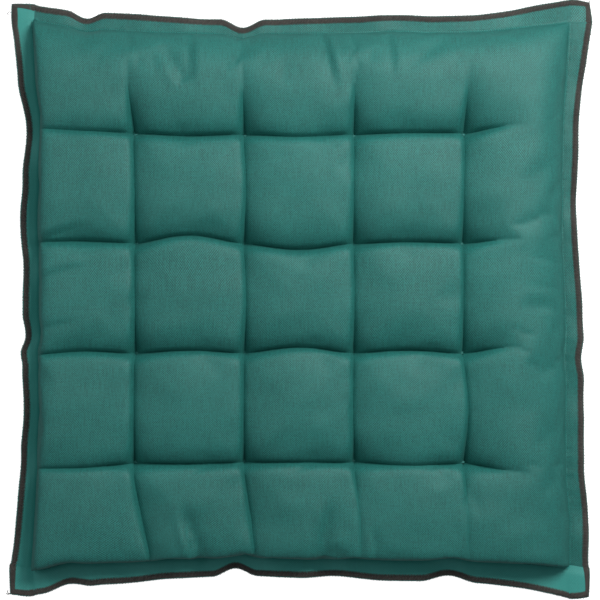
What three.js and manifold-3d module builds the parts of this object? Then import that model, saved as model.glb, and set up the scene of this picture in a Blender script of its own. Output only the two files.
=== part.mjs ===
// Tufted floor cushion: a square padded body between two cotton panels, drawn in by sixteen
// thread tufts, with a flat flange outside the body and an overlocked edge round the flange.
// Millimetres. +Z is up, Z = 0 is the surface that the cushion rests on, and the origin is the
// middle of the footprint.
import * as THREE from 'three';
import { ParametricGeometry } from 'three/addons/geometries/ParametricGeometry.js';
import { mergeVertices } from 'three/addons/utils/BufferGeometryUtils.js';
import Module from 'manifold-3d';

const wasm = await Module();
wasm.setup();

// ---- Plan ----
const TUFT_PITCH = 73.8; // between neighbouring tufts, both ways
const TUFTS_A_SIDE = 4;
const BODY_HALF = { x: 178.5, y: 179.5 }; // centre to the foot of the body, halfway along a side
const BODY_EAR = 6; // how much further out the body's corners reach
const FLANGE = 12; // foot of the body to the cut edge of the cloth, halfway along a side
const EDGE_EAR = { x: 9.5, y: 11.5 }; // how much further out the cut edge reaches at a corner
const EAR_POWER = 3; // how late along a side the ears begin
const WALL_STEP = 5.5; // the last ring of the filling lies this far inside the foot
const CELL_STEPS = 3; // facets across one pillow

// ---- Heights ----
const SEAM_HEIGHT = 20; // the plane where the two panels meet
const UPPER = { crown: 31.5, crease: 10, tuft: 25 }; // over that plane: pillow top, and drops from it
const LOWER = { crown: 26, crease: 10, tuft: 18.5 }; // under it, before the floor flattens it
const SHOULDER_POWER = 8; // how late the body turns down to its foot

// ---- Cloth and thread ----
const CLOTH = 0.8; // one panel
const GAP = 0.3; // between pieces that touch
const TIE = { radius: 0.5, needles: 2.4, knot: 2.2, knotFlat: 0.7 };
const TIE_SLEEVE = 0.5; // room round both legs of a tie in the filling
const THREAD_SIDES = 5; // facets round a thread and the hole that it passes through
const STITCH = { out: 1.6, width: 0.7, height: 0.5, link: 0.3 }; // out from the foot of the body
const OVERLOCK = { width: 4.2, thread: 0.6 };

const HALF_GAP = GAP / 2;
const FLOOR_DEPTH = SEAM_HEIGHT - HALF_GAP - CLOTH; // deepest the filling side of a panel can go

// ---- Plan of a point: s and t run from -1 to 1 across the body, and past that on the flange ----

const tuftLines = Array.from(
  { length: TUFTS_A_SIDE },
  (_, k) => (k - (TUFTS_A_SIDE - 1) / 2) * TUFT_PITCH,
);

// The lines of the facet grid along one axis, from the body's foot to its foot.
function bodyLines(half) {
  const bounds = [-half, ...tuftLines, half];
  const lines = [-half, WALL_STEP - half];
  for (let cell = 0; cell + 1 < bounds.length; cell += 1) {
    for (let step = 1; step <= CELL_STEPS; step += 1) {
      lines.push(THREE.MathUtils.lerp(bounds[cell], bounds[cell + 1], step / CELL_STEPS));
    }
  }
  lines.splice(-1, 0, half - WALL_STEP);
  return lines;
}

const LINES = { x: bodyLines(BODY_HALF.x), y: bodyLines(BODY_HALF.y) };

// How far from the centre plane a side's foot (out = 0) or cut edge (out = 1) lies, at along.
function reach(axis, along, out) {
  const ear = THREE.MathUtils.lerp(BODY_EAR, EDGE_EAR[axis], out);
  return BODY_HALF[axis] + out * FLANGE + ear * Math.min(Math.abs(along), 1) ** EAR_POWER;
}

function across(axis, here, other) {
  const out = Math.max(Math.abs(here) - 1, 0);
  return Math.sign(here) * Math.min(Math.abs(here), 1) * reach(axis, other, out);
}

// here and other of 2 are the cut edge, so the flange is one unit wide.
function plan(s, t) {
  return new THREE.Vector2(across('x', s, t), across('y', t, s));
}

// ---- Height of the padding over or under the seam plane ----

// 1 on a line of tufts, falling to 0 half a pitch away.
function drawnIn(place) {
  const nearest = Math.min(...tuftLines.map((line) => Math.abs(place - line)));
  return 1 - Math.sin(Math.PI * Math.min(nearest / TUFT_PITCH, 0.5)) ** 2;
}

function padding(side, s, t) {
  const [a, b] = [Math.min(Math.abs(s), 1), Math.min(Math.abs(t), 1)];
  const shoulder = Math.sqrt((1 - a ** SHOULDER_POWER) * (1 - b ** SHOULDER_POWER));
  const [dx, dy] = [drawnIn(s * BODY_HALF.x), drawnIn(t * BODY_HALF.y)];
  const drop = side.crease * Math.max(dx, dy) + (side.tuft - side.crease) * (dx * dy) ** 2;
  return shoulder * (side.crown - drop);
}

const risePadding = (s, t) => padding(UPPER, s, t);
const fallPadding = (s, t) => Math.min(padding(LOWER, s, t), FLOOR_DEPTH);

// ---- Geometry helpers ----

// A closed slab over the grid of s and t values, between two heights given as functions. Each
// facet is cut from its lowest corner to its highest, as relief gives them, so slabs that are
// stacked on one relief keep an even gap.
function slab({ s: ss, t: tt }, relief, top, bottom) {
  const position = [];
  for (const height of [top, bottom]) {
    for (const t of tt) {
      for (const s of ss) {
        const p = plan(s, t);
        position.push(p.x, p.y, height(s, t));
      }
    }
  }
  const [nx, ny] = [ss.length, tt.length];
  const under = nx * ny;
  const at = (i, j) => j * nx + i;
  const rise = (i, j, k, l) => Math.abs(relief(ss[i], tt[j]) - relief(ss[k], tt[l]));
  const index = [];
  for (let j = 0; j + 1 < ny; j += 1) {
    for (let i = 0; i + 1 < nx; i += 1) {
      const [a, b, c, d] = [at(i, j), at(i + 1, j), at(i + 1, j + 1), at(i, j + 1)];
      const forward = rise(i, j, i + 1, j + 1) > rise(i + 1, j, i, j + 1);
      const facets = forward ? [a, b, c, a, c, d] : [b, c, d, b, d, a];
      index.push(...facets, ...facets.map((v) => v + under).reverse());
    }
  }
  const rim = [];
  for (let i = 0; i + 1 < nx; i += 1) rim.push(at(i, 0));
  for (let j = 0; j + 1 < ny; j += 1) rim.push(at(nx - 1, j));
  for (let i = nx - 1; i > 0; i -= 1) rim.push(at(i, ny - 1));
  for (let j = ny - 1; j > 0; j -= 1) rim.push(at(0, j));
  rim.forEach((a, k) => {
    const b = rim[(k + 1) % rim.length];
    index.push(a, a + under, b, b, a + under, b + under);
  });
  const geometry = new THREE.BufferGeometry();
  geometry.setAttribute('position', new THREE.Float32BufferAttribute(position, 3));
  geometry.setIndex(index);
  return geometry;
}

// The closed plan outline round a grid, anticlockwise, through the grid's outermost points.
function outline({ s: ss, t: tt }) {
  const [right, back] = [ss.at(-1), tt.at(-1)];
  const [u, v] = [ss.slice(0, -1), tt.slice(0, -1)];
  return [
    ...u.map((s) => plan(s, -back)),
    ...v.map((t) => plan(right, t)),
    ...u.map((s) => plan(-s, back)),
    ...v.map((t) => plan(-right, -t)),
  ];
}

// Outward mitre at each point of a closed outline, so that an offset keeps its distance.
function mitres(loop) {
  const normals = loop.map((p, k) => {
    const along = loop[(k + 1) % loop.length].clone().sub(p).normalize();
    return new THREE.Vector2(along.y, -along.x);
  });
  return normals.map((n, k) => {
    const before = normals[(k + loop.length - 1) % loop.length];
    return n.clone().add(before).divideScalar(1 + n.dot(before));
  });
}

// A section of [out, up] points, anticlockwise, carried round a closed outline.
function ring(loop, section) {
  const out = mitres(loop);
  const place = (u, v, target) => {
    const k = Math.round(u * loop.length) % loop.length;
    const [offset, z] = section[Math.round(v * section.length) % section.length];
    target.set(loop[k].x + out[k].x * offset, loop[k].y + out[k].y * offset, z);
  };
  return new ParametricGeometry(place, loop.length, section.length);
}

function solid(geometry) {
  geometry.deleteAttribute('normal');
  geometry.deleteAttribute('uv');
  const merged = mergeVertices(geometry);
  return new wasm.Manifold(new wasm.Mesh({
    numProp: 3,
    vertProperties: new Float32Array(merged.attributes.position.array),
    triVerts: new Uint32Array(merged.index.array),
  }));
}

function fromSolid(body) {
  const { numProp, vertProperties, triVerts } = body.getMesh();
  const geometry = new THREE.BufferGeometry();
  geometry.setAttribute('position', new THREE.BufferAttribute(vertProperties, numProp));
  geometry.setIndex(new THREE.BufferAttribute(triVerts, 1));
  geometry.computeVertexNormals();
  return geometry;
}

const union = (bodies) => bodies.reduce((whole, body) => whole.add(body));
const cut = (body, tools) => tools.reduce((rest, tool) => rest.subtract(tool), body);

// An upright rod from z = low to z = high.
function rod(x, y, low, high, radius) {
  const geometry = new THREE.CylinderGeometry(radius, radius, high - low, THREAD_SIDES);
  geometry.rotateX(Math.PI / 2);
  geometry.translate(x, y, (low + high) / 2);
  return solid(geometry);
}

// ---- Where things are ----

const bodyGrid = { s: LINES.x.map((x) => x / BODY_HALF.x), t: LINES.y.map((y) => y / BODY_HALF.y) };
const coverGrid = { s: [-2, ...bodyGrid.s, 2], t: [-2, ...bodyGrid.t, 2] };
const fillGrid = { s: bodyGrid.s.slice(1, -1), t: bodyGrid.t.slice(1, -1) };

const tufts = tuftLines.flatMap((y, row) => tuftLines.map((x, column) => {
  const [s, t] = [x / BODY_HALF.x, y / BODY_HALF.y];
  return { s, t, at: plan(s, t), name: `tuft_tie_r${TUFTS_A_SIDE - row}_c${column + 1}` };
}));

// Rise of a dimple's side this far from its tuft, along the crease to the next facet line.
function dimpleRise(height, tuft, distance) {
  const step = LINES.x[LINES.x.findIndex((x) => x > tuft.s * BODY_HALF.x + GAP)];
  const beside = Math.abs(height(step / BODY_HALF.x, tuft.t) - height(tuft.s, tuft.t));
  return (beside / (step - tuft.s * BODY_HALF.x)) * distance;
}

const needleHoles = tufts.flatMap(({ at }) => [-1, 1].map((side) => (
  rod(at.x + side * TIE.needles / 2, at.y, 0, 100, TIE.radius + GAP)
)));
const fillHoles = tufts.map(({ at }) => (
  rod(at.x, at.y, 0, 100, TIE.needles / 2 + TIE.radius + TIE_SLEEVE)
));

// The seam's line lies on the flange, just outside the foot of the body.
const seamAt = 1 + STITCH.out / FLANGE;
const seamLine = outline({
  s: [-seamAt, ...tuftLines.map((x) => x / BODY_HALF.x), seamAt],
  t: [-seamAt, ...tuftLines.map((y) => y / BODY_HALF.y), seamAt],
});
const stitchHoles = seamLine.map((p) => rod(p.x, p.y, 0, 100, STITCH.link + GAP));

const upperFace = SEAM_HEIGHT + HALF_GAP + CLOTH; // top of the flange
const lowerFace = SEAM_HEIGHT - HALF_GAP - CLOTH; // underside of the flange

// ---- The pieces ----

function topCover() {
  const shell = slab(
    coverGrid,
    risePadding,
    (s, t) => upperFace + risePadding(s, t),
    (s, t) => upperFace - CLOTH + risePadding(s, t),
  );
  return cut(solid(shell), [...needleHoles, ...stitchHoles]);
}

function bottomCover() {
  const shell = slab(
    coverGrid,
    fallPadding,
    (s, t) => lowerFace + CLOTH - fallPadding(s, t),
    (s, t) => lowerFace - fallPadding(s, t),
  );
  return cut(solid(shell), [...needleHoles, ...stitchHoles]);
}

function upperFilling() {
  const batt = slab(
    fillGrid,
    risePadding,
    (s, t) => SEAM_HEIGHT - HALF_GAP + risePadding(s, t),
    () => SEAM_HEIGHT + HALF_GAP,
  );
  return cut(solid(batt), fillHoles);
}

function lowerFilling() {
  const batt = slab(
    fillGrid,
    fallPadding,
    () => SEAM_HEIGHT - HALF_GAP,
    (s, t) => SEAM_HEIGHT + HALF_GAP - fallPadding(s, t),
  );
  return cut(solid(batt), fillHoles);
}

// One tie: a bar across the dimple, two legs down through the cushion, and a knot under it.
function tuftTie(tuft) {
  const { s, t, at } = tuft;
  const barEnd = TIE.needles / 2 + TIE.radius;
  const barZ = upperFace + risePadding(s, t) + dimpleRise(risePadding, tuft, barEnd)
    + GAP + TIE.radius;
  const knotHalf = TIE.knot * TIE.knotFlat;
  const knotZ = lowerFace - fallPadding(s, t) - dimpleRise(fallPadding, tuft, barEnd) - GAP - knotHalf;
  const bar = new THREE.CapsuleGeometry(TIE.radius, TIE.needles, 1, THREAD_SIDES);
  bar.rotateZ(Math.PI / 2);
  bar.translate(at.x, at.y, barZ);
  const knot = new THREE.SphereGeometry(TIE.knot, 6, 4);
  knot.rotateX(Math.PI / 2);
  knot.scale(1, 1, TIE.knotFlat);
  knot.translate(at.x, at.y, knotZ);
  const legs = [-1, 1].map((side) => (
    rod(at.x + side * TIE.needles / 2, at.y, knotZ, barZ, TIE.radius)
  ));
  return union([solid(bar), solid(knot), ...legs]);
}

// The straight seam: a run of thread over the flange, one under it, and links through both panels.
function flangeSeam() {
  const run = (z) => {
    const [half, top] = [STITCH.width / 2, z + STITCH.height];
    return solid(ring(seamLine, [[-half, z], [half, z], [half, top], [-half, top]]));
  };
  const [over, below] = [upperFace + GAP, lowerFace - GAP - STITCH.height];
  const links = seamLine.map((p) => (
    rod(p.x, p.y, below + STITCH.height / 2, over + STITCH.height / 2, STITCH.link)
  ));
  return union([run(over), run(below), ...links]);
}

// The overlock: a C-shaped binding of thread that wraps the cut edges of both panels.
function overlockEdge() {
  const [inner, outer] = [-OVERLOCK.width, GAP + OVERLOCK.thread];
  const [high, low] = [upperFace + GAP, lowerFace - GAP];
  const [top, bottom] = [high + OVERLOCK.thread, low - OVERLOCK.thread];
  const section = [
    [inner, bottom], [outer, bottom], [outer, top], [inner, top],
    [inner, high], [GAP, high], [GAP, low], [inner, low],
  ];
  return solid(ring(outline(coverGrid), section));
}

// ---- Materials and assembly ----

const cloth = { color: 0x35716a, roughness: 0.92, metalness: 0 };
const charcoal = { color: 0x36332f, roughness: 0.88, metalness: 0 };
const fibre = { color: 0xe9e6df, roughness: 0.98, metalness: 0 };

const cushion = new THREE.Group();

function add(name, body, finish) {
  const mesh = new THREE.Mesh(fromSolid(body), new THREE.MeshStandardMaterial(finish));
  mesh.name = name;
  cushion.add(mesh);
}

add('top_cover', topCover(), cloth);
add('bottom_cover', bottomCover(), cloth);
add('filling_upper', upperFilling(), fibre);
add('filling_lower', lowerFilling(), fibre);
add('flange_seam', flangeSeam(), cloth);
add('overlock_edge', overlockEdge(), charcoal);
for (const tuft of tufts) add(tuft.name, tuftTie(tuft), cloth);

export default cushion;
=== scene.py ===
# %% [markdown]
# # A tufted floor cushion
# The real one is two square cotton panels with wadding between them. A seam runs round the
# padded body, a flat flange lies outside the seam, and a dark overlock holds the raw edges
# together. Sixteen thread ties pull the panels towards each other, so that the wadding stands
# up between them as pillows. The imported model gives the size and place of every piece, and
# each cell below makes one of them as it looks.

# %% Load the frame
import math

import bmesh
import bpy
import numpy as np
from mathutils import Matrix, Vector


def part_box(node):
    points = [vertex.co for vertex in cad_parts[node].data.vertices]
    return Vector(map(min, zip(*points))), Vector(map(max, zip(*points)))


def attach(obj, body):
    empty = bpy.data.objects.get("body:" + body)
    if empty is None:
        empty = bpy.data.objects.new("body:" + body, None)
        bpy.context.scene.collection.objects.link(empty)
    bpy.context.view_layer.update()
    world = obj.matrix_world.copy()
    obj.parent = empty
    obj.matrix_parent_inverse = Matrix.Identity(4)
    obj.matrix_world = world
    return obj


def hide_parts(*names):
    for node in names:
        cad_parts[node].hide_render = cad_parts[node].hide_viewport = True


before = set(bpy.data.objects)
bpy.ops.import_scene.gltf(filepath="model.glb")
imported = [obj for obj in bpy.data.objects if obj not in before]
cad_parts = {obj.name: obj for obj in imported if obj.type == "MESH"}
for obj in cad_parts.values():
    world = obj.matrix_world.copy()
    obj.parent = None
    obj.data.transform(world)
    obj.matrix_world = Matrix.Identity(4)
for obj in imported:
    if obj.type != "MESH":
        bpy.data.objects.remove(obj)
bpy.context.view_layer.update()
MM = 0.001

# %% [markdown]
# ## Sizes
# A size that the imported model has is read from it: the tufts' places from the ties' boxes, the
# cut edge from the top panel's box, the seam's plane from the flange seam. The rest are a
# maker's choices: how wide the flange is, how far the corners stand out as ears, and how deep
# the pillows are drawn in.

# %% Read the sizes
ROWS, COLUMNS = range(1, 5), range(1, 5)
ties = {(r, c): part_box(f"tuft_tie_r{r}_c{c}") for r in ROWS for c in COLUMNS}
middle = {place: (low + high) / 2 for place, (low, high) in ties.items()}
TUFT_X = np.array([middle[1, c].x for c in COLUMNS])
TUFT_Y = np.array([middle[r, 1].y for r in reversed(ROWS)])
PITCH = float(TUFT_X[1] - TUFT_X[0])
BAR, KNOT = 1.0 * MM, 2.2 * MM  # how far a tie stands out of its dimple, above and underneath
TUFT_TOP = ties[1, 1][1].z - BAR
TUFT_UNDER = ties[1, 1][0].z + KNOT
SEAM_Z = float((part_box("overlock_edge")[0].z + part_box("overlock_edge")[1].z) / 2)
CLOTH = 0.8 * MM
HALF_FLANGE = CLOTH + 0.15 * MM  # from the seam's plane to a face of the flange
FULLER = 2 * MM  # how much the stuffed body swells past its plain solid, all round
FLANGE = 12 * MM - FULLER
BODY_EAR = 6 * MM
EDGE_EAR = np.array([9.5, 11.5]) * MM
edge_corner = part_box("top_cover")[1]
HALF = np.array([edge_corner.x, edge_corner.y]) - FLANGE - EDGE_EAR
print("tufts x", TUFT_X.round(4), "y", TUFT_Y.round(4), "half", HALF.round(4))
print("seam", round(SEAM_Z, 4), "tuft", round(TUFT_TOP, 4), round(TUFT_UNDER, 4))

# %% [markdown]
# ## The camera and the light
# The cushion lies flat and is looked at from straight above. A long lens keeps the body's walls
# from showing. A soft key light stands off the back right corner, near enough to be brighter
# there than at the front left one, a weaker light stands at the left, and the world and the pale
# floor give back the rest. Floor and world are pure white only where they are seen straight.

# %% Camera
LENS, SENSOR = 100, 36
FRAME_WIDTH = 413.8 * MM
camera_data = bpy.data.cameras.new("camera")
camera_data.lens, camera_data.sensor_width = LENS, SENSOR
camera = bpy.data.objects.new("camera", camera_data)
bpy.context.scene.collection.objects.link(camera)
camera.location = (0.7 * MM, -1.0 * MM, SEAM_Z + FRAME_WIDTH * LENS / SENSOR)
bpy.context.scene.camera = camera
print("camera height", round(camera.location.z, 3))

# %% Light
scene = bpy.context.scene
scene.view_settings.view_transform = "Standard"


def area_light(name, place, size, power, colour=(1, 1, 1)):
    data = bpy.data.lights.new(name, "AREA")
    data.shape, data.size, data.energy, data.color = "DISK", size, power, colour
    lamp = bpy.data.objects.new(name, data)
    scene.collection.objects.link(lamp)
    lamp.location = place
    lamp.rotation_euler = (-Vector(place)).to_track_quat("-Z", "Y").to_euler()
    return lamp


area_light("key", (0.44, 0.52, 0.75), 0.5, 11.1, (1, 0.985, 0.96))
area_light("side", (-0.60, 0.18, 0.80), 0.8, 2.4)
world = bpy.data.worlds.new("studio")
scene.world = world
world.use_nodes = True
sky = world.node_tree.nodes["Background"].inputs
sky["Color"].default_value = (0.93, 0.96, 1, 1)
FILL_LIGHT, SEEN_LIGHT = 0.25, 1.05  # the world's strength as a light, and where it is seen straight
brighter = world.node_tree.nodes.new("ShaderNodeMath")
brighter.operation = "MULTIPLY_ADD"
brighter.inputs[1].default_value = SEEN_LIGHT - FILL_LIGHT
brighter.inputs[2].default_value = FILL_LIGHT
straight = world.node_tree.nodes.new("ShaderNodeLightPath").outputs["Is Camera Ray"]
world.node_tree.links.new(straight, brighter.inputs[0])
world.node_tree.links.new(brighter.outputs[0], sky["Strength"])

# %% Floor
bm = bmesh.new()
FLOOR_HALF = 6
bmesh.ops.create_grid(bm, x_segments=2, y_segments=2, size=FLOOR_HALF)
floor_mesh = bpy.data.meshes.new("floor")
bm.to_mesh(floor_mesh)
bm.free()
floor = bpy.data.objects.new("floor", floor_mesh)
scene.collection.objects.link(floor)
paper = bpy.data.materials.new("studio paper")
paper.use_nodes = True
paper_shader = paper.node_tree.nodes["Principled BSDF"]
paper_shader.inputs["Base Color"].default_value = (0.35, 0.35, 0.35, 1)
paper_shader.inputs["Roughness"].default_value = 0.9
paper_shader.inputs["Emission Color"].default_value = (1, 1, 1, 1)
seen_straight = paper.node_tree.nodes.new("ShaderNodeLightPath").outputs["Is Camera Ray"]
paper.node_tree.links.new(seen_straight, paper_shader.inputs["Emission Strength"])
floor_mesh.materials.append(paper)
print("floor half width", FLOOR_HALF)

# %% [markdown]
# ## The plan of the cushion
# Every point of a panel has two numbers, s and t, that run from -1 to 1 across the padded body
# and on to 2 at the cut edge of the flange. Working in s and t keeps both panels, the seam, the
# overlock and the wadding on the same lines, however much the outline is pulled about. The
# sides pull in between the corners, and each has a few small tucks of its own, because the
# overlock gathers the edge unevenly.

# %% Where a point lies in plan
TUCKS = {  # side: (place along it, half width, how far in), millimetres
    "left": (
        (117, 17, 4.8), (-24, 7, 1.6), (-150, 60, 1.6), (15, 90, 1.4), (166, 34, 2.4), (84, 12, 1),
        (-78, 14, 1.4), (50, 14, -1.6), (-37, 5, -1.5),
    ),
    "right": (
        (128, 18, 1.2), (0, 110, -2.6), (-20, 40, -2.4), (-90, 40, -2.6), (-41, 8, 2), (-150, 18, -3),
        (60, 45, 1.9),
    ),
    "back": (
        (-147, 7, 4.2), (-135, 60, -2), (-38.6, 8, 5.5), (45, 55, -2.2), (160, 20, -1.6), (-170, 34, 2),
        (66, 14, -1.5),
    ),
    "front": (
        (-158, 9, 3.6), (-175, 25, -1.5), (-115, 12, -1.4), (-44, 8, 5.2), (-50, 50, 1), (55, 40, -1.4),
        (103, 10, 3.4), (28, 14, 1.8),
    ),
}
CORNER_TUGS = {  # (side in x, side in y): how far the cut corner is tugged, millimetres
    (-1, 1): (1.0, -0.1), (-1, -1): (0.4, 0.4), (1, 1): (1.8, 2.6), (1, -1): (-0.3, -3.3),
}
FOOT_TUGS = {  # the same for the body's corner, which the stuffing pushes into the flange
    (-1, 1): (0, 6), (-1, -1): (0, -2.5), (1, 1): (0, 3), (1, -1): (0, -1),
}
CORNER_ROUND = 0.3  # how much of the cut corner's square is rounded away
BODY_SHARE = 0.55  # how much of a tuck the foot of the body follows
FOOT_IN = (3.0, 5.0)  # how far the foot is drawn in under the body, left and front, millimetres
FOOT_FROM = -0.965  # where on the body that begins, as s or t


def hump(x):
    """1 at x = 0, falling smoothly to 0 at x = 1 and beyond."""
    return np.cos(np.clip(np.abs(x), 0, 1) * math.pi / 2) ** 2


def tuck(side, along):
    return sum(depth * hump((along / MM - at) / (2 * width)) for at, width, depth in TUCKS[side]) * MM


def across(axis, here, other):
    out = np.maximum(np.abs(here) - 1, 0)
    ear = BODY_EAR + (EDGE_EAR[axis] - BODY_EAR) * out
    reach = HALF[axis] + out * FLANGE + ear * np.minimum(np.abs(other), 1) ** 3
    return np.sign(here) * np.minimum(np.abs(here), 1) * reach


def rounded(s, t):
    """The flange's corner square, with its outer corner rounded."""
    a, b = np.maximum(np.abs(s) - 1, 0), np.maximum(np.abs(t) - 1, 0)
    shrink_a, shrink_b = np.sqrt(1 - CORNER_ROUND * b**2 / 2), np.sqrt(1 - CORNER_ROUND * a**2 / 2)
    return (
        np.sign(s) * (np.minimum(np.abs(s), 1) + a * shrink_a),
        np.sign(t) * (np.minimum(np.abs(t), 1) + b * shrink_b),
    )


def plan(s, t):
    s, t = rounded(s, t)
    x, y = across(0, s, t), across(1, t, s)
    for axis, (here, sides) in enumerate(((s, ("left", "right")), (t, ("front", "back")))):
        out = np.maximum(np.abs(here) - 1, 0)
        share = BODY_SHARE * np.minimum(np.abs(here), 1) ** 9 + (1 - BODY_SHARE) * out
        along = y if axis == 0 else x
        inwards = np.where(here < 0, tuck(sides[0], along), -tuck(sides[1], along))
        if axis == 0:
            x = x + share * inwards
        else:
            y = y + share * inwards
    x = x + FOOT_IN[0] * MM * np.interp(s, (-2, -1, FOOT_FROM), (0, 1, 0))
    y = y + FOOT_IN[1] * MM * np.interp(t, (-2, -1, FOOT_FROM), (0, 1, 0))
    out = np.maximum(np.maximum(np.abs(s), np.abs(t)) - 1, 0)
    for tugs, share in ((CORNER_TUGS, out), (FOOT_TUGS, 1 - out)):
        for (sx, sy), (dx, dy) in tugs.items():
            near = (np.clip(s * sx, 0, 1) * np.clip(t * sy, 0, 1)) ** 7 * share
            x, y = x + near * dx * MM, y + near * dy * MM
    return x, y


print("back edge at the middle", np.round(plan(np.array([0.0]), np.array([2.0])), 4).tolist())

# %% [markdown]
# ## How deep each crease is
# Between neighbouring ties the cloth is drawn into a crease. No two are alike: a crease sways
# to one side, or fades out before it reaches the next pillow. The tables give one number for
# each stretch of crease, from the back of the cushion to the front, or from left to right.

# %% Creases
SWAY_OF_ROWS = (  # millimetres to the back, for each row of ties and each pillow across
    (0, -1.5, -2, 0.5, 3.5), (1, 5.5, -4, 1, 2), (2, 2, 4, 2, 5), (-1, -0.5, 0.5, -1, -3),
)
SWAY_OF_COLUMNS = (  # millimetres to the right, for each column and each pillow down
    (-2, 0.5, 0.5, 0, 0), (0, 1.5, 1.5, 0, 1), (0, 0, 0.5, -0.5, 2), (1, 0, 0, 3, 1),
)
DEPTH_OF_ROWS = (
    (0.6, 1, 0.7, 0.9, 0.8), (1, 0.9, 1, 0.9, 0.5), (0.9, 0.9, 0.9, 1, 0.8), (0.6, 0.9, 0.8, 0.5, 0.8),
)
DEPTH_OF_COLUMNS = (
    (0.7, 0.9, 0.9, 1, 1.1), (0.6, 0.8, 0.8, 1, 1), (0.8, 0.7, 0.8, 0.9, 0.4), (0.5, 0.7, 0.9, 0.9, 0.3),
)
RUN_OUT = np.array([17, 10, 4, 0])  # how far to the right a column's crease ends in front, mm
REACH = (  # for the creases across x, then y: at the low side and at the high, where fading starts
    ((0.5, 1.2), (0.12, 0.62)), ((0.3, 1.6), (0.05, 0.55)),  # and how long it takes, in pillows
)
BOUNDS = [np.array([-h, *tufts, h]) for h, tufts in zip(HALF, (TUFT_X, TUFT_Y))]


def upwards(columns, rows):
    """Both tables with each of their indices rising with x or y."""
    return [np.array(columns, float)[:, ::-1], np.array(rows, float)[::-1]]


SWAY = upwards(SWAY_OF_COLUMNS, SWAY_OF_ROWS)
DEPTH = upwards(DEPTH_OF_COLUMNS, DEPTH_OF_ROWS)


def cell_of(axis, place):
    """Which pillow a place is on, and how far across it, from 0 to 1."""
    cell = np.clip(np.searchsorted(BOUNDS[axis], place) - 1, 0, 4)
    low, high = BOUNDS[axis][cell], BOUNDS[axis][cell + 1]
    return cell, np.clip((place - low) / (high - low), 0, 1)


def nearest_line(axis, place):
    lines = (TUFT_X, TUFT_Y)[axis]
    which = np.abs(place[:, None] - lines).argmin(1)
    return which, place - lines[which]


def valley(gap, widths):
    """1 on a crease, falling steeply and then ever more gently beside it: the pillow in front
    or at the left leans over the crease, so that side is the steeper one."""
    return np.exp(-((np.abs(gap) / MM / np.where(gap < 0, *widths)) ** 1.1))


LUMPS = (  # of the wadding: length of a wave, its direction in degrees, where it starts, depth in mm
    (0.043, 20, 0.4, 0.28), (0.031, 75, 2.1, 0.2), (0.027, 130, 4.0, 0.16), (0.019, 100, 1.1, 0.08),
)


def lumps(x, y):
    total = 0
    for length, turn, start, depth in LUMPS:
        run = x * math.cos(math.radians(turn)) + y * math.sin(math.radians(turn))
        total = total + depth * np.sin(run * 2 * math.pi / length + start + 1.5 * np.sin((x - y) * 31))
    return total


def drawn_in(gap):
    """1 on a line of ties, falling to 0 half a pillow away."""
    return np.cos(math.pi * np.minimum(np.abs(gap) / PITCH, 0.5)) ** 2


def crease(axis, place, other):
    """For the creases that cross this axis: sway, depth and closeness at each point."""
    line, gap = nearest_line(axis, place)
    cell, part = cell_of(1 - axis, other)
    fade = np.ones_like(part)
    for outer, to_edge, (start, length) in zip((0, 4), (1 - part, part), REACH[axis]):
        fade = np.where(cell == outer, hump(np.clip(to_edge - start, 0, 1) / length), fade)
    lean = SWAY[axis][line, cell] * np.sin(math.pi * part) ** 1.5 * MM
    if axis == 0:
        to_front = np.where(cell == 0, 1 - part, 0)
        lean = lean + RUN_OUT[line] * to_front**1.3 * (1 - to_front**24) * MM
    inner = DEPTH[axis][line, cell]
    settled = np.where((cell == 0) & (part < 0.5), 1, np.sin(math.pi * part) ** 2)
    depth = fade * (1 + (inner - 1) * settled)
    return lean * drawn_in(gap), depth, drawn_in(gap), gap


print("pillow bounds x", BOUNDS[0].round(4), "y", BOUNDS[1].round(4))

# %% [markdown]
# ## The panels
# A panel could be sculpted, or be a simulated sheet. Simulated cloth gives the folds that no
# one would think to draw: the sheet starts as a rough relief of the pillows, is given a little
# more cloth than that relief needs, and is blown up from below while its seam, its ties and its
# creases are held. The grid is crowded towards creases and seam, where the cloth bends most.
# The flange outside the seam stands up a little at the left and the front.

# %% A panel's grid, before it is filled
CELL, RIM, CROWD = 40, 6, 0.42  # steps on a pillow and on the flange, and how crowded they are
PANELS = {  # side: heights over or under the seam's plane, millimetres
    "top": dict(way=1, crown=28.5, rows=7.5, columns=5, dome=3, face=HALF_FLANGE),
    "bottom": dict(way=-1, crown=22, rows=5, columns=5, dome=3, face=HALF_FLANGE),
}
COLUMN_SIDES, ROW_SIDES = (1.6, 6.5), (2.5, 6)  # how wide a crease is on its steep and gentle side
TUFT_SIDES = ((3, 8), (3.5, 12))  # the same for a dimple, across x and across y, millimetres
HELD_COLUMN, HELD_ROW = 0.75, 0.95  # how firmly a full crease is held while the sheet is filled


def grid_lines(axis):
    marks = BOUNDS[axis] / HALF[axis]
    step = np.arange(CELL) / CELL
    step = step - CROWD * np.sin(2 * math.pi * step) / (2 * math.pi)
    body = [a + (b - a) * step for a, b in zip(marks, marks[1:])]
    rim = 1 + np.arange(1, RIM + 1) / RIM
    return np.concatenate([-rim[::-1], *body, [1], rim])


LINES = [grid_lines(0), grid_lines(1)]
COUNT = len(LINES[0]) - 1
RIPPLES = ((0.071, 0.3, 1.3), (0.043, 1.9, 0.8), (0.027, 4.1, 0.45))  # length, start, mm


def ripple(along):
    return sum(np.sin(along * 2 * math.pi / length + start) * size for length, start, size in RIPPLES) * MM


def puckers(along):
    """Small gathers that the seam leaves in the cloth."""
    beat = 0.6 + 0.4 * np.sin(along * 61 + 1.3)
    return (np.sin(along * 610) + 0.6 * np.sin(along * 1010 + 2)) * beat * 0.14 * MM


TILT = {"left": 6.0, "right": 0.5, "front": 5.0, "back": 0}  # how far a cut edge stands up, mm


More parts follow.
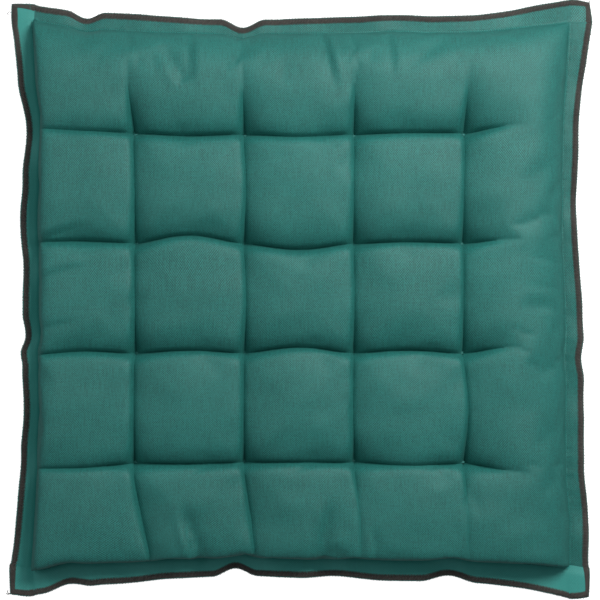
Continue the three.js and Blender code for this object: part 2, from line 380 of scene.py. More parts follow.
def flange_lift(s, t, x, y):
    """How far the flange waves up and down, growing towards its cut edge."""
    lift = 0
    for here, along, sides in ((s, y, ("left", "right")), (t, x, ("front", "back"))):
        out = np.clip(np.abs(here) - 1, 0, 1)
        side = np.where(here < 0, 1.0, -1.0)
        tucked = np.where(here < 0, tuck(sides[0], along), tuck(sides[1], along))
        stands = np.interp(out, (0, 1 / RIM, 1), (0, 0.45, 1))  # up at once, and then flatter
        lift = lift + stands * np.where(here < 0, TILT[sides[0]], TILT[sides[1]]) * MM
        lift = lift + out * (ripple(along + side * 0.09) - 0.35 * tucked) + puckers(along + side) * (
            hump(np.abs(here) - 1)
        ) * (np.abs(here) > 0.999)
    return lift


def shoulder_of(here):
    """1 on the body, falling to 0 at its foot: a full wall left and front, a softer one behind."""
    turn, steep = np.where(here < 0, 46, 14), np.where(here < 0, 0.5, 0.6)
    return (1 - np.clip(np.abs(here), 0, 1) ** turn) ** steep


def relief(panel, s, t):
    """The rough height of a panel over the seam's plane, and how firmly each point is held."""
    p, q = np.clip(s, -1, 1) * HALF[0], np.clip(t, -1, 1) * HALF[1]
    lean_x, depth_x, near_x, gap_x = crease(0, p, q)
    lean_y, depth_y, near_y, gap_y = crease(1, q, p)
    shoulder = shoulder_of(s) * shoulder_of(t)
    tuft_drop = panel["crown"] - panel["tuft"] / MM
    column = panel["columns"] * depth_x * valley(gap_x, COLUMN_SIDES)
    row = panel["rows"] * depth_y * valley(gap_y, ROW_SIDES)
    drop = np.hypot(column, row) + panel["dome"] * np.maximum(near_x * depth_x, near_y * depth_y)
    drop = drop + (tuft_drop - drop) * valley(gap_x, TUFT_SIDES[0]) * valley(gap_y, TUFT_SIDES[1])
    drop = drop + lumps(p, q)
    height = shoulder * (panel["crown"] - drop) * MM
    on_row, on_column = np.abs(gap_y) < 0.05 * MM, np.abs(gap_x) < 0.05 * MM
    held = np.zeros_like(s)
    held = np.where(on_column, np.maximum(held, HELD_COLUMN * depth_x), held)
    held = np.where(on_row, np.maximum(held, HELD_ROW * depth_y), held)
    held = np.where(np.hypot(gap_x, gap_y) < 0.8 * MM, 1, held)
    held = np.where((np.abs(s) > 0.9999) | (np.abs(t) > 0.9999), 1, held)
    return lean_x, lean_y, height, np.clip(held, 0, 1)


def lay_panel(name, panel, every=1):
    """The panel as a mesh, on all of the grid's lines or on every second one."""
    count = COUNT // every
    bm = bmesh.new()
    bmesh.ops.create_grid(bm, x_segments=count, y_segments=count, size=1)
    if panel["way"] < 0:
        bmesh.ops.reverse_faces(bm, faces=bm.faces)
    mesh = bpy.data.meshes.new(name)
    bm.to_mesh(mesh)
    bm.free()
    co = np.zeros(len(mesh.vertices) * 3)
    mesh.vertices.foreach_get("co", co)
    at = np.rint((co.reshape(-1, 3)[:, :2] + 1) / 2 * count).astype(int) * every
    s, t = LINES[0][at[:, 0]], LINES[1][at[:, 1]]
    lean_x, lean_y, height, held = relief(panel, s, t)
    x, y = plan(s, t)
    z = SEAM_Z + flange_lift(s, t, x, y) + panel["way"] * (panel["face"] + height)
    mesh.vertices.foreach_set("co", np.stack([x + lean_x, y + lean_y, z], 1).ravel())
    mesh.shade_smooth()
    made = bpy.data.objects.new(name, mesh)
    scene.collection.objects.link(made)
    return made, s, t, held


HALF_GRID = 2  # the simulated sheet has every second line
for side, panel in PANELS.items():
    tuft = TUFT_TOP - SEAM_Z if side == "top" else SEAM_Z - TUFT_UNDER
    panel["tuft"] = tuft - panel["face"]
    panel["object"], panel["s"], panel["t"], panel["held"] = lay_panel(f"{side}_panel", panel)
    print(side, "panel", len(panel["held"]), "points, tuft at", round(panel["tuft"] / MM, 1), "mm")

# %% [markdown]
# ## Filling the panels
# The wadding pushes the cloth out, which is what the Cloth modifier's pressure does. The points
# that are sewn are pinned at full weight, and a crease at less, so that the cloth still moves
# there. A negative shrink gives the panel its spare cloth. The sheet that is simulated has only
# every second line of the grid, and each point's move is then carried over to the full panel,
# smoothly from one line to the next.

# %% Fill one panel
FRAMES = 22
PUSH, SPARE = 3.0, 0.003  # the wadding's pressure, and the share of spare cloth


def points_of(made):
    co = np.zeros(len(made.data.vertices) * 3)
    made.data.vertices.foreach_get("co", co)
    return co.reshape(-1, 3)


def fill(made, held, push, spare):
    pins = made.vertex_groups.new(name="sewn")
    for weight in np.unique(held[held > 0].round(2)):
        pins.add(np.where(held.round(2) == weight)[0].tolist(), float(weight), "REPLACE")
    cloth = made.modifiers.new("Cloth", "CLOTH")
    settings = cloth.settings
    settings.quality, settings.mass, settings.air_damping = 5, 0.3, 2
    settings.tension_stiffness = settings.compression_stiffness = 15
    settings.shear_stiffness, settings.bending_stiffness = 5, 1.5
    settings.use_pressure, settings.uniform_pressure_force = True, push
    settings.vertex_group_mass, settings.shrink_min = "sewn", -spare
    settings.effector_weights.gravity = 0
    cloth.collision_settings.use_collision = False
    cloth.point_cache.frame_end = FRAMES
    before = points_of(made)
    for number in range(1, FRAMES + 1):
        scene.frame_set(number)
    seen = made.evaluated_get(bpy.context.evaluated_depsgraph_get())
    co = np.zeros(len(seen.data.vertices) * 3)
    seen.data.vertices.foreach_get("co", co)
    bpy.data.objects.remove(made)
    scene.frame_set(1)
    return co.reshape(-1, 3) - before


def refined(moves):
    """The same moves on a grid with twice the lines, smooth from one point to the next."""
    side = round(math.sqrt(len(moves)))
    moves = moves.reshape(side, side, 3)
    for axis in (0, 1):
        old = np.moveaxis(moves, axis, 0)
        wide = np.concatenate([2 * old[:1] - old[1:2], old, 2 * old[-1:] - old[-2:-1]])
        new = np.empty((2 * len(old) - 1, *old.shape[1:]))
        new[::2], new[1::2] = old, (9 * (wide[1:-2] + wide[2:-1]) - wide[:-3] - wide[3:]) / 16
        moves = np.moveaxis(new, 0, axis)
    return moves.reshape(-1, 3)


for side, panel in PANELS.items():
    sheet, _, _, held = lay_panel(f"{side}_sheet", panel, HALF_GRID)
    shape = points_of(panel["object"]) + refined(fill(sheet, held, PUSH, SPARE))
    panel["object"].data.vertices.foreach_set("co", shape.ravel())
    print(side, "filled from", shape.min(0).round(4), "to", shape.max(0).round(4))

# %% [markdown]
# ## Pressing the panels
# The floor flattens the lower panel, so what bulges through it is eased back up. Along each
# crease the cloth folds in on itself, which is finer than the simulated sheet can show, so a
# narrow groove is pressed there and the crease's own line is made a sharp edge. The same groove
# is pressed for the few folds that run in from the seam. The weave is laid last: each point of
# the cloth gets its flat place, by its length along the panel.

# %% Press the floor, the creases and the folds
FOLDS = (  # from, to (x, y), half width and depth in millimetres; a fold is a groove with a lip
    ((-68, -174), (-80, -134), 4.6, 5.5), ((16, -172), (21, -132), 4.6, 5.5),
    ((9, -172), (11, -142), 3.2, 2.6), ((52, -174), (50, -150), 3.6, 2.0),
    ((-80, 150), (-97, 177), 4.5, 3.0), ((-74, 174), (-72, 138), 3.6, 2.0),
    ((17, 175), (26, 136), 4.0, 3.0), ((62, 174), (64, 146), 3.2, 2.0),
    ((-175, 40), (-138, 52), 4.0, 1.5), ((-172, 14), (-130, 26), 5.0, 1.8),
    ((-174, -20), (-140, -14), 3.5, 1.0), ((174, 24), (150, 30), 3.0, 0.8),
    ((174, 6), (146, 9), 3.0, 0.9), ((173, -8), (152, -4), 3.0, 0.8),
)


FLOOR_EASE, FLOOR_GAP = 0.5 * MM, 0.1 * MM
FOLD_FULL, FOLD_RISE = 0.3, 12  # full depth as far along as this; no fold lower than this, mm
ROW_BITE, COLUMN_BITE = (2.4, 1.3), (0.6, 1.4)  # a crease's pressed groove: depth and width, mm
TIE_CLEAR = 7  # the pressed grooves begin this far from a tie, millimetres
LEAN_FRONT, LEAN_BACK = 1.0, 0.6  # how far a wall leans out, left and front, right and back, mm


def press_floor(co):
    lift = np.clip((FLOOR_GAP - co[:, 2]) / FLOOR_EASE, -30, 30)
    co[:, 2] += FLOOR_EASE * np.log1p(np.exp(lift))


def groove(gap, width):
    """A pressed line: a groove with one steep side, and the cloth beside it pushed up a little."""
    x = gap / width / np.where(gap < 0, 1.3, 0.6)
    return -np.exp(-(np.abs(x) ** 1.2)) + 0.3 * np.exp(-((x - 2.2) ** 2))


def press_folds(co):
    for start, end, width, depth in FOLDS:
        start, end = np.array(start) * MM, np.array(end) * MM
        along = (co[:, :2] - start) @ (end - start) / np.sum((end - start) ** 2)
        turn = np.array([-(end - start)[1], (end - start)[0]]) / np.linalg.norm(end - start)
        gap = (co[:, :2] - start) @ turn
        share = hump(np.clip((along - FOLD_FULL) / (1 - FOLD_FULL), 0, 1)) * (along > -0.15)
        share = share * np.clip((co[:, 2] - SEAM_Z) / (FOLD_RISE * MM), 0, 1)
        co[:, 2] += depth * MM * share * groove(gap, width * MM)


def press_creases(co, panel):
    p, q = np.clip(panel["s"], -1, 1) * HALF[0], np.clip(panel["t"], -1, 1) * HALF[1]
    _, depth_x, _, gap_x = crease(0, p, q)
    _, depth_y, _, gap_y = crease(1, q, p)
    inside = (np.abs(panel["s"]) < 1) & (np.abs(panel["t"]) < 1)
    bites = [
        deep * depth * np.exp(-((gap / (wide * MM)) ** 2))
        for (deep, wide), depth, gap in ((ROW_BITE, depth_y, gap_y), (COLUMN_BITE, depth_x, gap_x))
    ]
    bite = np.maximum(*bites)
    away = 1 - np.exp(-((np.hypot(gap_x, gap_y) / (TIE_CLEAR * MM)) ** 2))
    co[:, 2] -= panel["way"] * bite * inside * away * MM


def bulge_over(co, panel):
    """The stuffed wall leans out over the flange, a little more at the left and the front."""
    rise = panel["way"] * (co[:, 2] - SEAM_Z) / (20 * MM)
    middle = hump((rise - 0.65) / 0.6)
    for axis, here in enumerate((panel["s"], panel["t"])):
        near = np.clip((np.abs(here) - 0.86) / 0.12, 0, 1) * (np.abs(here) <= 1)
        lean = np.where(here < 0, LEAN_FRONT, LEAN_BACK) * MM
        co[:, axis] += np.sign(here) * lean * near * middle


def crack_creases(mesh, panel):
    """A crease is a sharp line: the cloth does not turn round smoothly at its bottom."""
    p, q = np.clip(panel["s"], -1, 1) * HALF[0], np.clip(panel["t"], -1, 1) * HALF[1]
    ends = np.zeros(len(mesh.edges) * 2, int)
    mesh.edges.foreach_get("vertices", ends)
    sharp = np.zeros(len(mesh.edges), bool)
    for axis, place, other in ((0, p, q), (1, q, p)):
        _, depth, _, gap = crease(axis, place, other)
        on_line = (np.abs(gap) < 0.05 * MM) & (depth > 0.25)
        sharp |= on_line[ends.reshape(-1, 2)].all(1)
    mesh.attributes.new("sharp_edge", "BOOLEAN", "EDGE").data.foreach_set("value", sharp)


def lay_weave(mesh, co):
    """Flat places on the cloth, in metres, measured along the panel's middle lines."""
    grid = co.reshape(COUNT + 1, COUNT + 1, 3)
    runs = []
    for line in (grid[COUNT // 2], grid[:, COUNT // 2]):
        steps = np.linalg.norm(np.diff(line, axis=0), axis=1)
        runs.append(np.concatenate([[0], np.cumsum(steps)]))
    flat = np.stack([np.tile(runs[0], COUNT + 1), np.repeat(runs[1], COUNT + 1)], 1)
    corner = np.zeros(len(mesh.loops), int)
    mesh.loops.foreach_get("vertex_index", corner)
    mesh.uv_layers.new(name="cloth").data.foreach_set("uv", flat[corner].ravel())
    return [float(run[-1]) for run in runs], [float(run[RIM]) for run in runs]


for side, panel in PANELS.items():
    shape = points_of(panel["object"])
    bulge_over(shape, panel)
    press_creases(shape, panel)
    if side == "top":
        press_folds(shape)
    press_floor(shape)
    panel["object"].data.vertices.foreach_set("co", shape.ravel())
    crack_creases(panel["object"].data, panel)
    lengths, body_from = lay_weave(panel["object"].data, shape)
    print(side, "panel stands from", round(shape[:, 2].min(), 4), "to", round(shape[:, 2].max(), 4))
    print("its cloth is", np.round(lengths, 4), "m long through the middle")

# %% Give the panels their thickness
for side, panel in PANELS.items():
    wall = panel["object"].modifiers.new("thickness", "SOLIDIFY")
    wall.thickness, wall.offset = CLOTH, -1
    print(side, "panel is", wall.thickness, "m thick")

# %% [markdown]
# ## The wadding
# Two soft pads fill the body, one over and one under the seam's plane. Each is a coarser grid
# laid just inside its panel, with its back pushed down flat to the seam. Nobody sees it, but
# the cushion is hollow without it, and it is what the panels rest on.

# %% Make the wadding
def smooth_piece(name, bm):
    """The made shape as a smooth piece in the scene."""
    mesh = bpy.data.meshes.new(name)
    bm.to_mesh(mesh)
    bm.free()
    mesh.shade_smooth()
    made = bpy.data.objects.new(name, mesh)
    scene.collection.objects.link(made)
    return made


THIN = 2  # every second line of the panel's grid
START = RIM + 4  # the first line that carries wadding
UNDER = CLOTH + 1.0 * MM  # how far the wadding lies under the cloth's outer face
INSET = 4 * MM  # how far it is kept in from the walls
SEAM_GAP = 0.15 * MM


def make_wadding(name, panel):
    grid = points_of(panel["object"]).reshape(COUNT + 1, COUNT + 1, 3)
    inner = grid.copy()
    for axis, shift in ((0, 1), (0, -1), (1, 1), (1, -1), (0, 2), (0, -2), (1, 2), (1, -2)):
        beside = np.roll(grid[..., 2], shift, axis) * panel["way"]
        inner[..., 2] = np.minimum(inner[..., 2] * panel["way"], beside) * panel["way"]
    inner[..., 2] -= panel["way"] * UNDER
    for axis in (0, 1):
        here = inner[..., axis]
        near_wall = np.clip(np.abs(here) / HALF[axis] * 4 - 3, 0, 1)
        inner[..., axis] = here - np.sign(here) * INSET * near_wall
    near_corner = np.clip((np.abs(inner[..., :2] / HALF).prod(-1) - 0.75) / 0.2, 0, 1)
    inner[..., 2] = SEAM_Z + (inner[..., 2] - SEAM_Z) * (1 - 0.6 * near_corner)
    inner = inner[START:-START:THIN, START:-START:THIN]
    rows = inner.shape[0] - 1
    bm = bmesh.new()
    bmesh.ops.create_grid(bm, x_segments=rows, y_segments=rows, size=1)
    if panel["way"] < 0:
        bmesh.ops.reverse_faces(bm, faces=bm.faces)
    bm.verts.ensure_lookup_table()
    for vert in bm.verts:
        i, j = (round((c + 1) / 2 * rows) for c in vert.co.xy)
        vert.co = inner[j, i]
    front = bm.faces[:]
    back = bmesh.ops.extrude_face_region(bm, geom=front, use_keep_orig=True)
    laid = [v for v in back["geom"] if isinstance(v, bmesh.types.BMVert)]
    for vert in laid:
        vert.co.z = SEAM_Z + panel["way"] * SEAM_GAP
    bmesh.ops.reverse_faces(bm, faces=[f for f in back["geom"] if isinstance(f, bmesh.types.BMFace)])
    bmesh.ops.recalc_face_normals(bm, faces=bm.faces)
    return smooth_piece(name, bm)


PANELS["top"]["wadding"] = make_wadding("wadding_upper", PANELS["top"])
PANELS["bottom"]["wadding"] = make_wadding("wadding_lower", PANELS["bottom"])
for side, panel in PANELS.items():
    print(side, "wadding", len(panel["wadding"].data.polygons), "faces")

# %% [markdown]
# ## Lines of thread round the flange
# Stitches are curves with a round section. They are many, so each has few points, and the
# whole seam is one object. A helper gives places that are evenly spaced round the cushion at
# any distance out from the body's foot, with the corners turned squarely.

# %% Places round the flange
OUTWARDS = ((1, 0), (0, 1), (-1, 0), (0, -1))  # right, back, left, front: anticlockwise


def ring_point(side, along, out):
    """Points on the flange's middle plane; along runs from -2 to 2, out from 0 to 1."""
    ox, oy = OUTWARDS[side]
    far = np.maximum(np.abs(along) - 1, 0)
    a = np.sign(along) * (np.minimum(np.abs(along), 1) + far * out)
    s, t = ox * (1 + out) - oy * a, oy * (1 + out) + ox * a
    x, y = plan(s, t)
    return np.stack([x, y, SEAM_Z + flange_lift(s, t, x, y)], -1)


def spaced(side, out, pitch):
    """Evenly spaced values of along on one side."""
    along = np.linspace(-2, 2, 3001)
    line = ring_point(side, along, out)
    run = np.concatenate([[0], np.cumsum(np.linalg.norm(np.diff(line, axis=0), axis=1))])
    count = round(run[-1] / pitch)
    return np.interp((np.arange(count) + 0.5) / count * run[-1], run, along)


def thread_curve(name, radius, resolution=0):
    data = bpy.data.curves.new(name, "CURVE")
    data.dimensions, data.bevel_depth, data.bevel_resolution = "3D", radius, resolution
    data.use_fill_caps = True
    return data


def add_thread(data, points, thick=1.0, closed=False):
    spline = data.splines.new("POLY")
    spline.points.add(len(points) - 1)
    flat = np.column_stack([points, np.ones(len(points))])
    spline.points.foreach_set("co", flat.ravel())
    spline.points.foreach_set("radius", np.full(len(points), float(thick)))
    spline.use_cyclic_u, spline.use_smooth = closed, True
    return spline


def to_piece(data):
    """The curve as a mesh piece of its own."""
    bare = bpy.data.objects.new(data.name + "_line", data)
    mesh = bpy.data.meshes.new_from_object(bare)
    mesh.name = data.name
    bpy.data.objects.remove(bare)
    made = bpy.data.objects.new(data.name, mesh)
    scene.collection.objects.link(made)
    return made


print("one side is", len(spaced(0, 1.0, MM)), "mm long at the cut edge")

# %% [markdown]
# ## The overlock
# The charcoal edge is thread and nothing else: an overlocker lays slanted loops over the cut
# edge, about one a millimetre, and they bed down into a dense band. A band with a texture would
# look flat at the edge, so the loops are real ones, over a plain bed that closes the gaps
# between them.

# %% Make the bed and the loops
OVERLOCK = 4.2 * MM
LOOP_PITCH, LOOP_RADIUS = 1.05 * MM, 0.34 * MM
rng = np.random.default_rng(7)


def inner_line(side, along, outer):
    """Where the overlock ends on the flange: its width in from the cut edge."""
    foot = ring_point(side, along, 0.0)
    share = OVERLOCK / np.linalg.norm((outer - foot)[..., :2], axis=-1)
    point = outer + (foot - outer) * share[..., None]
    point[..., 2] = ring_point(side, along, 1 - share)[..., 2]
    return point


def section(inner, outer, part, lift):
    """Points between an inner and an outer line: part of the way out, lifted off the plane."""
    point = inner + (outer - inner) * np.asarray(part)[..., None]
    point[..., 2] += lift
    return point


def make_bed(name):
    alongs = [np.linspace(-2, 2, 301)[:-1] for _ in OUTWARDS]
    outer = np.concatenate([ring_point(k, a, 1.0) for k, a in enumerate(alongs)])
    inner = np.concatenate([inner_line(k, a, ring_point(k, a, 1.0)) for k, a in enumerate(alongs)])
    around, steps = 12, len(inner)
    bm = bmesh.new()
    bmesh.ops.create_grid(bm, x_segments=around, y_segments=steps, size=1)
    for vert in bm.verts:
        i, j = round((vert.co.x + 1) / 2 * around), round((vert.co.y + 1) / 2 * steps) % steps
        turn = 2 * math.pi * i / around
        part = 0.53 + 0.49 * math.copysign(abs(math.cos(turn)) ** 0.6, math.cos(turn))
        lift = (HALF_FLANGE + 0.18 * MM) * math.copysign(abs(math.sin(turn)) ** 0.6, math.sin(turn))
        vert.co = section(inner[j], outer[j], part, lift)
    bmesh.ops.remove_doubles(bm, verts=bm.verts, dist=0.005 * MM)
    bmesh.ops.recalc_face_normals(bm, faces=bm.faces)
    return smooth_piece(name, bm)


loops = thread_curve("overlock_loops", LOOP_RADIUS)
OVER = ((0, 0.75), (0.1, 1.12), (0.55, 1.2), (0.9, 1.05), (1.07, 0))
over = np.array(OVER + tuple((part, -lift) for part, lift in OVER[-2::-1]))
for side in range(4):
    for along in spaced(side, 1.0, LOOP_PITCH):
        lean = np.array([max(along - 0.006, -2), along])
        ends = ring_point(side, lean, 1.0)
        start, end = inner_line(side, lean, ends)[0], ends[1]
        wobble = rng.normal(0, 0.012, 2)
        points = section(start, end, over[:, 0] * (1 + wobble[0]), over[:, 1] * HALF_FLANGE)
        add_thread(loops, points, 1 + wobble[1] * 4)
tails = (
    (3, -2, ((0, 0, 0), (-1.4, 0.4, 0.4), (-2.2, 1.6, 0.1), (-1.6, 2.4, -0.4))),
    (3, -2, ((0, 0, 0), (-1.8, -0.3, 0.1), (-3, 0.2, -0.2))),
    (0, 2, ((0, 0, 0), (0.6, 2, 0.2), (0.2, 3.6, 0), (1.0, 5, -0.5))),
    (2, -1.62, ((0, 0, 0), (-1.8, 0.6, 0.5), (-2.8, -0.6, 0.2), (-2.2, -1.8, 0))),
)
for side, along, points in tails:
    start = ring_point(side, np.array([float(along)]), 1.0)[0]
    add_thread(loops, start + np.array(points) * MM, 0.8)
overlock_loops = to_piece(loops)
overlock_bed = make_bed("overlock_bed")
for piece in (overlock_loops, overlock_bed):
    print(piece.name, len(piece.data.polygons), "faces")

# %% [markdown]
# ## The flange seam
# The seam that closes the body is a lockstitch: a row of short stitches that dip into the cloth
# at each end, the same on both faces.

# %% Sew the flange seam
STITCH, STITCH_GAP, STITCH_OUT = 2.5 * MM, 0.7 * MM, 1.6 / 12
STITCH_RADIUS = 0.22 * MM
seam = thread_curve("flange_stitching", STITCH_RADIUS)
for side in range(4):
    for along in spaced(side, STITCH_OUT, STITCH + STITCH_GAP):
        if abs(along) < 1 + STITCH_OUT / 2:
            half = STITCH / 2 / HALF[side % 2 - 1]
            line = ring_point(side, along + half * np.array([-1, -0.6, 0, 0.6, 1]), STITCH_OUT)
            for way in (1, -1):
                dip = np.array([-0.25, 0, 0.04, 0, -0.25]) * MM
                add_thread(seam, line + np.outer(HALF_FLANGE + dip, (0, 0, way)))
stitching = to_piece(seam)
print("flange seam", len(stitching.data.polygons), "faces")

# %% [markdown]
# ## The ties
# Each tie is one thick thread. It crosses between two needle holes in the bottom of its dimple,
# goes down through the wadding on both sides, and is knotted underneath, where its two ends are
# cut short.

# %% Tie the tufts
TIE_RADIUS, NEEDLES = 0.36 * MM, 2.4 * MM
BAR_LINE = (  # the thread over the cloth: along it from needle to needle, and up, millimetres
    (-0.5, -1.2), (-0.5, -0.1), (-0.36, 0.3), (0, 0.42), (0.36, 0.3), (0.5, -0.1), (0.5, -1.2),
)


def nearest_height(panel, x, y):
    """The height of the panel at the middle of a dimple."""
    co = panel["shape"]
    return float(co[np.hypot(co[:, 0] - x, co[:, 1] - y).argmin(), 2])


for panel in PANELS.values():
    panel["shape"] = points_of(panel["object"])
tie_pieces = []
for (r, c), place in middle.items():
    data = thread_curve(f"tuft_thread_r{r}_c{c}", TIE_RADIUS, 1)
    top = nearest_height(PANELS["top"], place.x, place.y)
    under = nearest_height(PANELS["bottom"], place.x, place.y)
    turn = rng.normal(0, 0.12)
    axis = np.array([math.cos(turn), math.sin(turn), 0])
    side_way = np.array([-axis[1], axis[0], 0])
    foot = np.array([place.x, place.y, 0])
    for strand in (-1, 0, 1):
        shift = foot + side_way * strand * 0.5 * MM
        bar = [shift + axis * a * NEEDLES + (0, 0, top + h * MM) for a, h in BAR_LINE]
        add_thread(data, np.array(bar))
    for leg in (-0.5, 0.5):
        run = np.linspace(top - 1 * MM, under + 0.5 * MM, 5)
        add_thread(data, np.array([foot + axis * leg * NEEDLES + (0, 0, z) for z in run]))
    knot_at = foot + (0, 0, under - 0.9 * MM)
    turns = np.linspace(0, 2 * math.pi, 25)[:-1]
    knot = np.column_stack([
        np.sin(turns) + 2 * np.sin(2 * turns), np.cos(turns) - 2 * np.cos(2 * turns), -0.8 * np.sin(3 * turns),
    ]) * 0.5 * MM
    add_thread(data, knot_at + knot, 1.15, closed=True)
    for way in (-1, 1):
        bend = rng.uniform(-0.8, 0.8)
        steps = np.linspace(0, 1, 6)
        reach = way * (1 + 6 * steps)
        tail = np.column_stack([reach, bend * 3 * steps**2 + way * 0.4, -0.4 - 1.2 * np.sin(steps * 2.4)])
        add_thread(data, knot_at + tail * MM)
    piece = to_piece(data)
    tie_pieces.append((piece, f"tuft_tie_r{r}_c{c}"))
print(len(tie_pieces), "ties, dimples at", round(top, 4), "and", round(under, 4))

# %% [markdown]
# ## Materials
# The same few patterns turn up in more than one finish, so each is a node group: the weave, and
# the patchy tone that washing leaves. A group puts out masks and heights. The shader stays in
# the material, where the numbers that are the same all over are set on its own sockets.

# %% Helpers for node trees
def add_node(tree, kind, values=(), **settings):
    made = tree.nodes.new(kind)
    for name, value in settings.items():
        setattr(made, name, value)
    for key, value in dict(values).items():
        if isinstance(value, bpy.types.NodeSocket):
            tree.links.new(value, made.inputs[key])
        else:
            made.inputs[key].default_value = value
    return made


def calc(tree, operation, *values):
    return add_node(tree, "ShaderNodeMath", enumerate(values), operation=operation).outputs[0]


def stretch(tree, vector, by):
    """The vector with each of its parts multiplied."""
    return add_node(tree, "ShaderNodeVectorMath", {0: vector, 1: by}, operation="MULTIPLY").outputs[0]


def noise(tree, vector, scale, detail=2.0, roughness=0.5):
    values = {"Vector": vector, "Scale": scale, "Detail": detail, "Roughness": roughness}
    return add_node(tree, "ShaderNodeTexNoise", values).outputs["Fac"]


def between(tree, factor, low, high):
    """A number that runs from low to high with the factor."""
    values = {"Value": factor, "To Min": low, "To Max": high}
    return add_node(tree, "ShaderNodeMapRange", values).outputs[0]


def new_group(name, inputs, outputs):
    tree = bpy.data.node_groups.new(name, "ShaderNodeTree")
    for label, kind in inputs:
        tree.interface.new_socket(label, in_out="INPUT", socket_type="NodeSocket" + kind)
    for label in outputs:
        tree.interface.new_socket(label, in_out="OUTPUT", socket_type="NodeSocketFloat")
    return tree, tree.nodes.new("NodeGroupInput").outputs, tree.nodes.new("NodeGroupOutput").inputs


def mixed(tree, factor, low, high):
    """A colour between two, by the factor."""
    made = add_node(tree, "ShaderNodeMix", {"Factor": factor}, data_type="RGBA")
    for socket, colour in zip((made.inputs[6], made.inputs[7]), (low, high)):
        if isinstance(colour, tuple):
            socket.default_value = (*colour, 1)
        else:
            tree.links.new(colour, socket)
    return made.outputs[2]


print("helpers ready")

# %% The weave
weave, given, gives = new_group(
    "plain weave", (("Vector", "Vector"), ("Density", "Float")), ("Over", "Height", "Slub"),
)
scaled = {0: given["Vector"], "Scale": given["Density"]}
yarns = add_node(weave, "ShaderNodeVectorMath", scaled, operation="SCALE")
loose = add_node(
    weave, "ShaderNodeTexNoise", {"Vector": yarns.outputs[0], "Scale": 0.11, "Detail": 1.0},
)
shaken = add_node(
    weave, "ShaderNodeVectorMath",
    {0: loose.outputs["Color"], 1: (1.6, 1.6, 0), 2: yarns.outputs[0]}, operation="MULTIPLY_ADD",
).outputs[0]
parts = add_node(weave, "ShaderNodeSeparateXYZ", {0: shaken}).outputs
waves = [calc(weave, "SINE", calc(weave, "MULTIPLY", parts[k], math.pi)) for k in (0, 1)]
crossing = calc(weave, "MULTIPLY", *waves)
edge = {"Value": crossing, "From Min": -0.2, "From Max": 0.2}
is_over = add_node(weave, "ShaderNodeMapRange", edge).outputs[0]
warp_slub = noise(weave, stretch(weave, shaken, (1.1, 0.06, 1)), 1.0, 1.5)
weft_slub = noise(weave, stretch(weave, shaken, (0.06, 0.9, 1)), 1.0, 1.5)
slubs = {0: between(weave, is_over, 0.45, 1), 2: weft_slub, 3: warp_slub}
slub = add_node(weave, "ShaderNodeMix", slubs).outputs[0]
weave.links.new(is_over, gives["Over"])
weave.links.new(calc(weave, "POWER", calc(weave, "ABSOLUTE", crossing), 0.5), gives["Height"])
weave.links.new(slub, gives["Slub"])
print("weave group", len(weave.nodes), "nodes")

# %% The washed tone
washed, given, gives = new_group("washed tone", (("Vector", "Vector"),), ("Tone",))
broad = noise(washed, given["Vector"], 14, 3.0, 0.55)
fine = noise(washed, given["Vector"], 85, 3.0, 0.6)
patches = [calc(washed, "MULTIPLY", *part) for part in ((broad, 0.65), (fine, 0.35))]
washed.links.new(calc(washed, "ADD", *patches), gives["Tone"])
print("washed tone group", len(washed.nodes), "nodes")

# %% [markdown]
# ## Teal cotton
# The panels are a plain weave of yarns about three quarters of a millimetre apart. The yarns
# that run one way are a little paler than the others, and both are uneven, which shows as fine
# streaks. The base is a deep green teal, with a very weak sheen for the nap. The flange at the
# left and the front is painted paler than the rest: painted light, standing in for the light
# that catches its turned-up edge there.

# %% Make the cotton
def start_material(name, roughness, sheen=0.0, tint=(1, 1, 1), specular=0.5):
    material = bpy.data.materials.new(name)
    material.use_nodes = True
    tree = material.node_tree
    shader = tree.nodes["Principled BSDF"]
    shader.inputs["Roughness"].default_value = roughness
    shader.inputs["Sheen Weight"].default_value = sheen
    shader.inputs["Sheen Roughness"].default_value = 0.45
    shader.inputs["Sheen Tint"].default_value = (*tint, 1)
    shader.inputs["Specular IOR Level"].default_value = specular
    return material, tree, shader


def bump(tree, shader, height, strength, distance):
    made = add_node(tree, "ShaderNodeBump", {"Height": height, "Strength": strength, "Distance": distance})
    tree.links.new(made.outputs[0], shader.inputs["Normal"])


YARNS_A_METRE = 1333
PAINTED_FLANGE_LIGHT = 0.6  # painted light: how much paler the flange is painted at the left and the front
cotton, tree, shader = start_material("teal cotton", 0.62, 0.02, (0.4, 0.95, 0.9), 0.45)
coordinates = tree.nodes.new("ShaderNodeTexCoord").outputs
cloth_weave = add_node(tree, "ShaderNodeGroup", node_tree=weave)
tree.links.new(coordinates["UV"], cloth_weave.inputs["Vector"])
cloth_weave.inputs["Density"].default_value = YARNS_A_METRE
cloth_tone = add_node(tree, "ShaderNodeGroup", node_tree=washed)
tree.links.new(coordinates["Object"], cloth_tone.inputs["Vector"])
grain = noise(tree, coordinates["UV"], 750, 2.0, 0.6)
tone = 0.5
for pattern, weight in (
    (cloth_weave.outputs["Over"], 0.85), (cloth_weave.outputs["Slub"], 1.1), (grain, 1.2),
    (cloth_tone.outputs["Tone"], 0.7),
):
    tone = calc(tree, "MULTIPLY_ADD", calc(tree, "SUBTRACT", pattern, 0.5), weight, tone)
place_on = add_node(tree, "ShaderNodeSeparateXYZ", {0: coordinates["UV"]}).outputs
# painted light: masks of the flange at the left and the front, where the cloth is painted paler
beyond = []
for k in (0, 1):
    step = {"Value": place_on[k], "From Min": body_from[k] + MM, "From Max": body_from[k]}
    beyond.append(add_node(tree, "ShaderNodeMapRange", step).outputs[0])
dyed = mixed(tree, tone, (0.003, 0.062, 0.055), (0.014, 0.180, 0.158))
# painted light: the left and front flange is mixed towards a paler teal
paler = calc(tree, "MULTIPLY", calc(tree, "MAXIMUM", *beyond), PAINTED_FLANGE_LIGHT)
tree.links.new(mixed(tree, paler, dyed, (0.035, 0.310, 0.275)), shader.inputs["Base Color"])
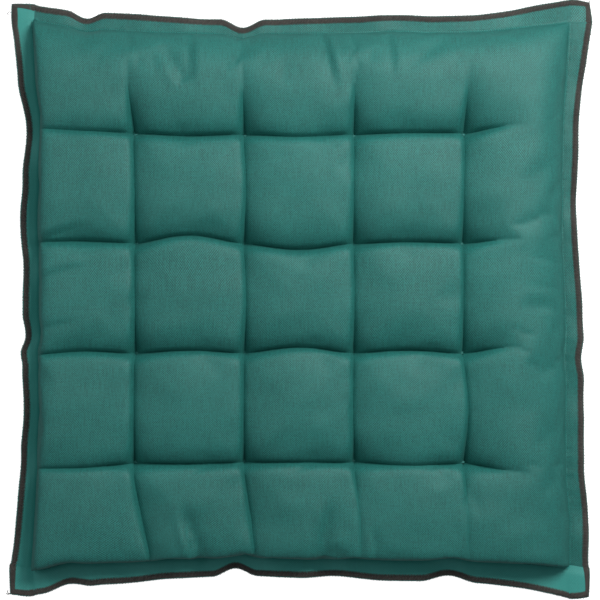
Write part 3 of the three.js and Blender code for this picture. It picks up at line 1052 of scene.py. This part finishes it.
raised = calc(tree, "MULTIPLY_ADD", cloth_weave.outputs["Slub"], 0.9, cloth_weave.outputs["Height"])
bump(tree, shader, raised, 0.5, 0.12 * MM)
print("cotton", len(tree.nodes), "nodes")

# %% [markdown]
# ## Thread and wadding
# A thread is two or three plies twisted together, which shows as slanting bands with a soft
# shine. The overlock's thread is charcoal, and its tone changes from loop to loop. Wadding is
# white, matt and fibrous.

# %% Make the threads and the wadding
def make_thread(name, dark, light, roughness, sheen):
    material, tree, shader = start_material(name, roughness, sheen, light, 0.4)
    place = tree.nodes.new("ShaderNodeTexCoord").outputs["Object"]
    slant = {"Vector": place, "Scale": 420, "Distortion": 1.5}
    ply = add_node(tree, "ShaderNodeTexWave", slant, bands_direction="DIAGONAL")
    spread = noise(tree, place, 520, 2.0)
    worn = add_node(tree, "ShaderNodeGroup", {"Vector": place}, node_tree=washed)
    tone = calc(tree, "MULTIPLY_ADD", ply.outputs["Fac"], 0.35, calc(tree, "MULTIPLY", spread, 0.75))
    tone = calc(tree, "MULTIPLY_ADD", calc(tree, "SUBTRACT", worn.outputs["Tone"], 0.5), 0.8, tone)
    tree.links.new(mixed(tree, tone, dark, light), shader.inputs["Base Color"])
    tree.links.new(between(tree, spread, roughness - 0.08, roughness + 0.1), shader.inputs["Roughness"])
    bump(tree, shader, ply.outputs["Fac"], 0.5, 0.08 * MM)
    print(name, len(tree.nodes), "nodes")
    return material


charcoal = make_thread("charcoal thread", (0.014, 0.013, 0.012), (0.085, 0.080, 0.072), 0.7, 0.25)
bed_thread = make_thread("charcoal thread bed", (0.008, 0.008, 0.007), (0.045, 0.042, 0.038), 0.8, 0.1)
teal_thread = make_thread("teal thread", (0.006, 0.085, 0.076), (0.024, 0.180, 0.162), 0.6, 0.1)

fibre, tree, shader = start_material("polyester wadding", 0.95, 0.3)
place = tree.nodes.new("ShaderNodeTexCoord").outputs["Object"]
fluff = noise(tree, place, 260, 6.0, 0.7)
tree.links.new(mixed(tree, fluff, (0.70, 0.70, 0.68), (0.86, 0.86, 0.84)), shader.inputs["Base Color"])
bump(tree, shader, fluff, 0.8, 0.8 * MM)
print("wadding", len(tree.nodes), "nodes")

# %% [markdown]
# ## Putting the pieces in place
# Each piece gets its material and rides on the cushion's one body, and the plain solid in the
# imported model that it takes the place of is hidden. The panels are cloth stretched over the wadding.


def hand_over(piece, material, slot, *nodes):
    piece.data.materials.clear()
    piece.data.materials.append(material)
    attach(piece, "root")
    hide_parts(*nodes)
    return piece


hand_over(overlock_bed, bed_thread, "overlock_thread", "overlock_edge")
hand_over(overlock_loops, charcoal, "overlock_thread", "overlock_edge")
hand_over(stitching, teal_thread, "sewing_thread", "flange_seam")
for piece, node in tie_pieces:
    hand_over(piece, teal_thread, "sewing_thread", node)
for side, level in (("top", "upper"), ("bottom", "lower")):
    sheet = hand_over(PANELS[side]["object"], cotton, "cover_cloth", f"{side}_cover")
    pad = hand_over(PANELS[side]["wadding"], fibre, "filling", f"filling_{level}")
